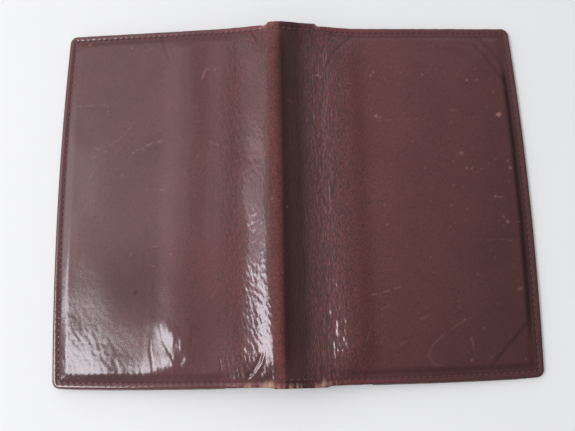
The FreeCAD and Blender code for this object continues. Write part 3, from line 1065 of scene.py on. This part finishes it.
panels = {   # mouth: distance from the middle line; low: height in the stack; cutBack: slanting ends
    "rightSleeve": {"node": "right_passport_sleeve", "mouth": 18, "cutBack": 15, "low": 0, "seed": 101},
    "leftSleeve": {"node": "left_passport_sleeve", "mouth": 18, "cutBack": 15, "low": 1.52, "seed": 102},
    "cardPocket1": {"node": "card_pocket_1", "mouth": 57, "cutBack": 0, "low": 0, "seed": 103},
    "cardPocket2": {"node": "card_pocket_2", "mouth": 43, "cutBack": 0, "low": 0.5, "seed": 103},
    "cardPocket3": {"node": "card_pocket_3", "mouth": 30, "cutBack": 0, "low": 1.0, "seed": 103},
}
panelGrid = {
    "columns": ((0, 0.03, 0.006), (0.03, 0.96, 0.022)),   # shares of the way from mouth to edge
    "row": 1.6,
    "edgeLines": 6,
    "cutDepth": 10.8,
    "height": 0.150,
    "outerEdge": 98.9,
}


def panelPlaces(side, s):
    # from the mouth to the outer edge; a sleeve's mouth is cut back towards each end
    count = panelGrid["edgeLines"]
    us = np.append(gridLines(panelGrid["columns"]), 0.96 + rounded(count) / plan["half"])
    u, v = grid(us, rowsToEdges(panelGrid["row"], count))
    start = s["mouth"]
    if s["cutBack"]:
        beyond = np.maximum(np.abs(v) - (plan["half"] - s["cutBack"]), 0)
        start = start + panelGrid["cutDepth"] * beyond / s["cutBack"]
    return place(start + (plan["lastColumn"] - start) * u, v, side, plan["underEdge"])


def innerPanel(name, s):
    side = 1 if name.startswith("right") else -1
    x, y = panelPlaces(side, s)
    over, under = panelHeights(s, layer["sleeve"] if s["cutBack"] else layer["card"])
    piece = closedSheet(name, x, y, over, under, side, finishes["inner"], 1, {"cut": innerCutEdge})
    declared([s["node"]])
    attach(piece, covers[side])


stops = {"rows": (-80.4, -67.0), "end": 60.5, "between": 74, "levels": (0.55, 1.05)}
underLevel = {"above": 0.23, "card": 0.5, "mouths": (56.6, 42.6, 29.7), "lining": (26, 30)}


def seamRoute(side):
    # the stitch line round a cover, from the head fold to the tail fold
    inset = thread["inset"]
    us = np.arange(plan["fold"] + 4.0, 96.0, 0.5)
    legs = []
    for end in (1, -1):
        ys = end * (reachAt(side * us, end) - inset)
        keep = us < edgeAt(ys) - inset - plan["corner"] + 1.6
        legs.append(np.stack([side * us, ys], -1)[keep])
    ys = np.arange(71.2, -72.2, -0.5)
    bow = np.stack([side * (edgeAt(ys) - inset), ys], -1)
    return np.concatenate([legs[0], bow, legs[1][::-1]])


def spineRoute(end):
    y = end * float(reachAt(np.array(0.0), end) - thread["spineInset"])
    return np.array([(-9, y), (9, y)])


def stitchPlaces(route):
    # two points on each stitch of a route
    gone = np.append(0, np.cumsum(np.hypot(*np.diff(route, axis=0).T)))
    count = round(gone[-1] / thread["pitch"])
    ends = (np.arange(count)[:, None] + 0.5) * gone[-1] / count + np.array([-0.5, 0.5])
    return np.stack([np.interp(ends, gone, route[:, 0]), np.interp(ends, gone, route[:, 1])], -1)


def stopPlaces():
    ys = np.arange(-stops["end"] + thread["pitch"] / 2, stops["end"], thread["pitch"])
    return [[(x, y - 0.5), (x, y + 0.5)] for x in stops["rows"] for y in ys]


def stitchPoints(start, end, face, size):
    # one stitch: two plies twisted together, its ends pulled into their holes
    t = np.linspace(0, 1, thread["rings"])[:, None]
    turn = np.linspace(0, 2 * math.pi, thread["sides"], endpoint=False)[None, :]
    ahead = (end - start) / np.linalg.norm(end - start)
    across = np.cross([0, 0, 1.0], ahead)
    across /= np.linalg.norm(across)
    up = np.cross(ahead, across)
    plies = np.cos(2 * (turn - thread["twist"] * t)) * thread["plies"]
    fat = thread["radius"] * size * (1 + plies) * (1 - 0.75 * np.abs(2 * t - 1) ** 5)
    arch = face * (thread["rise"] - thread["dip"] * np.abs(2 * t - 1) ** 3)
    lie = (t - 0.5) * thread["length"]
    spot = (start + end) / 2 + lie[..., None] * ahead + arch[..., None] * up
    spot = spot + (fat * np.cos(turn))[..., None] * across + (0.72 * fat * np.sin(turn))[..., None] * up
    # the second value is painted shade between the plies, high on their crowns
    return spot.reshape(-1, 3), (0.5 + 3 * plies).ravel()


def stitchFaces(start):
    rings, sides = thread["rings"], thread["sides"]
    faces = []
    for i in range(rings - 1):
        for j in range(sides):
            a = start + i * sides + j
            b = start + i * sides + (j + 1) % sides
            faces.append((a, b, b + sides, a + sides))
    faces.append(tuple(start + j for j in range(sides))[::-1])
    faces.append(tuple(start + (rings - 1) * sides + j for j in range(sides)))
    return faces


def stitches(name, node, body, places, level, face, size=1.0):
    random = np.random.default_rng(90)
    points, faces, plies = [], [], []
    for pair in places:
        xs, ys = np.transpose(pair) + random.normal(0, 0.035, 2)[:, None]
        ends = np.stack([xs, ys, level(xs, ys)], -1)
        spot, plyShade = stitchPoints(*ends, face, size * random.uniform(0.94, 1.06))
        faces += stitchFaces(len(points) * len(spot))
        points.append(spot)
        plies.append(plyShade)
    marks = {"plyShade": np.concatenate(plies)}
    piece = meshFrom(name, np.concatenate(points), faces, finishes["thread"], marks)
    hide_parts(node)
    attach(piece, body)


def seamTop(x, y):
    return skin(x, y) + 0.05


def seamUnder(x, y):
    # the lower stitches lie on the panels, and close to the fold on the lining
    s = underLevel
    cards = sum(np.where((x < 0) & (x >= -mouth), s["card"], 0) for mouth in s["mouths"])
    share = smooth(*s["lining"], np.abs(x))
    return (liningUnder(x, y) - 0.05) * (1 - share) + (coverBase(x) + s["above"] + cards) * share


def stopLevel(x, y):
    return coverBase(x) + np.where(np.abs(x) > stops["between"], *stops["levels"])


outerSkin(-1, "leftLeather", ["left_cover_leather", "spine_leather"])
outerSkin(1, "rightLeather", ["right_cover_leather"])
print("outer leather made")
liningHalf(-1, "leftLining", ["left_lining", "spine_lining"])
liningHalf(1, "rightLining", ["right_lining"])
interlining(-1, "leftPadding", "left_interlining")
interlining(1, "rightPadding", "right_interlining")
stiffener()
print("linings made")
for name, settings in panels.items():
    innerPanel(name, settings)
print("pockets made")
for side, word in ((1, "right"), (-1, "left")):
    places = stitchPlaces(seamRoute(side))
    stitches(f"{word}TopStitches", f"{word}_top_thread", f"{word}_cover", places, seamTop, 1)
    stitches(f"{word}UnderStitches", f"{word}_under_thread", f"{word}_cover", places, seamUnder, -1, 0.8)
spinePlaces = np.concatenate([stitchPlaces(spineRoute(end)) for end in (1, -1)])
stitches("spineTopStitches", "spine_top_thread", "spine", spinePlaces, seamTop, 1)
stitches("spineUnderStitches", "spine_under_thread", "spine", spinePlaces, liningUnder, -1, 0.8)
stitches("cardStopStitches", "card_stop_thread", "left_cover", stopPlaces(), stopLevel, -1, 0.5)
print("stitches made")

# from here on in metres
table = {"dark": (0.715, 0.712, 0.70, 1), "light": (0.745, 0.74, 0.725, 1), "half": 1.5, "drop": 0.00005}
lamps = {   # flat panels overhead that face straight down
    "window": {"place": (-0.758, -0.116, 1.06), "size": (0.493, 0.36), "power": 9.8, "spin": -40},
    "pane": {"place": (-1.05, 0.24, 1.06), "size": (0.70, 0.64), "power": 3.3, "spin": -25},
    "wall": {"place": (-0.66, 0.52, 1.06), "size": (0.74, 0.72), "power": 1.15, "spin": 0},
}
lampColour = (0.93, 0.93, 1.0)
room = {   # brightness, and how it grows along x and y
    "zenith": 0.72,
    "leanX": -0.40,
    "leanY": 0.16,
    "tint": (0.97, 0.985, 1.0, 1),
}
view = {"place": (-0.00331, -0.06215, 0.25437), "pitch": 12.194, "yaw": 0.225, "roll": -1.392, "lens": 38.82}


def makeTableTop():
    f = Finish("paleTableTop")
    spot = f.node("TexCoord").outputs["Object"]
    weave = f.noise(spot, 180.0, 3.0, 0.6)
    colour = f.mix(f.noise(spot, 3.0, 2.0, 0.5), table["dark"], table["light"])
    return f.finish(Base_Color=colour, Roughness=0.85 + 0.1 * weave, Normal=f.bump(weave, 0.00008, 0.4))


def makeStage():
    half = table["half"]
    corners = [(-half, -half, 0), (half, -half, 0), (half, half, 0), (-half, half, 0)]
    mesh = bpy.data.meshes.new("tableTop")
    mesh.from_pydata(corners, [], [(0, 1, 2, 3)])
    mesh.materials.append(makeTableTop())
    floor = bpy.data.objects.new("tableTop", mesh)
    floor.location.z = -table["drop"]
    bpy.context.scene.collection.objects.link(floor)


def makeLamps():
    for name, s in lamps.items():
        light = bpy.data.lights.new(name, "AREA")
        light.shape = "RECTANGLE"
        light.size, light.size_y = s["size"]
        light.energy = s["power"]
        light.color = lampColour
        lamp = bpy.data.objects.new(name, light)
        lamp.matrix_world = Matrix.Translation(s["place"]) @ Matrix.Rotation(math.radians(s["spin"]), 4, "Z")
        bpy.context.scene.collection.objects.link(lamp)


def makeRoom():
    world = bpy.data.worlds.new("softRoom")
    world.use_nodes = True
    sky = Nodes(world.node_tree)
    x, y, _ = sky.parts(sky.node("TexCoord").outputs["Generated"])
    background = world.node_tree.nodes["Background"]
    sky.feed(background.inputs["Color"], room["tint"])
    sky.feed(background.inputs["Strength"], room["zenith"] + room["leanX"] * x + room["leanY"] * y)
    bpy.context.scene.world = world


def makeCamera():
    camera = bpy.data.cameras.new("camera")
    camera.lens = view["lens"]
    camera.sensor_width = 36
    camera.clip_start = 0.01
    holder = bpy.data.objects.new("camera", camera)
    turn = Matrix.Rotation(math.radians(view["roll"]), 4, "Z")
    turn = turn @ Matrix.Rotation(math.radians(view["pitch"]), 4, "X")
    turn = turn @ Matrix.Rotation(math.radians(view["yaw"]), 4, "Y")
    holder.matrix_world = Matrix.Translation(view["place"]) @ turn
    bpy.context.scene.collection.objects.link(holder)
    bpy.context.scene.camera = holder


makeStage()
makeLamps()
makeRoom()
makeCamera()
bpy.context.scene.view_settings.view_transform = "Standard"
print("table, light and camera made")
